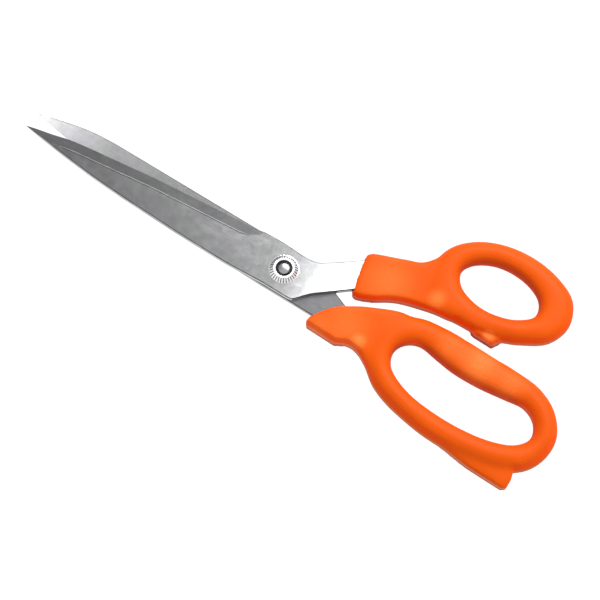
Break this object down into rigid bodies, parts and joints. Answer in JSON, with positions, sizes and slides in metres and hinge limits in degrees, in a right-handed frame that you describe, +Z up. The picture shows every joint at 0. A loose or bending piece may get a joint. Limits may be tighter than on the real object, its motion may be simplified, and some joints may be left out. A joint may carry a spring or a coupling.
{
  "type": "fabric shears",
  "caption": "Bent-handled fabric shears: long ground steel blades on a ribbed pivot nut, a round thumb bow and a long finger bow in moulded plastic.",
  "frame": {"origin": "middle of the flat land under the pivot bolt's head, on the surface the shears lie on", "axes": "+X from the pivot to the handles, along the length; +Y to the side of the thumb handle; +Z up along the pivot"},
  "size_m": [0.2541, 0.0883, 0.0107],
  "materials": {
    "blade_steel": "satin ground steel, bevels ground finer and darker",
    "bright_steel": "bright plated steel",
    "handle_plastic": "satin orange moulding with a very fine grain"
  },
  "bodies": {
    "finger_side": {"finger_blade": "blade_steel", "finger_handle": "handle_plastic", "pivot_bolt": "bright_steel", "spring_washer": "bright_steel"},
    "thumb_side": {"thumb_blade": "blade_steel", "thumb_handle": "handle_plastic"},
    "tension_nut": {"pivot_nut": "bright_steel"}
  },
  "joints": [
    {"name": "blade_pivot", "type": "hinge", "parent": "finger_side", "child": "thumb_side", "pos_m": [0, 0, 0], "axis": [0, 0, 1], "range_deg": [-2.5, 60]},
    {"name": "tension_turn", "type": "hinge", "parent": "finger_side", "child": "tension_nut", "pos_m": [0, 0, 0], "axis": [0, 0, 1], "range_deg": [-45, 45]}
  ]
}
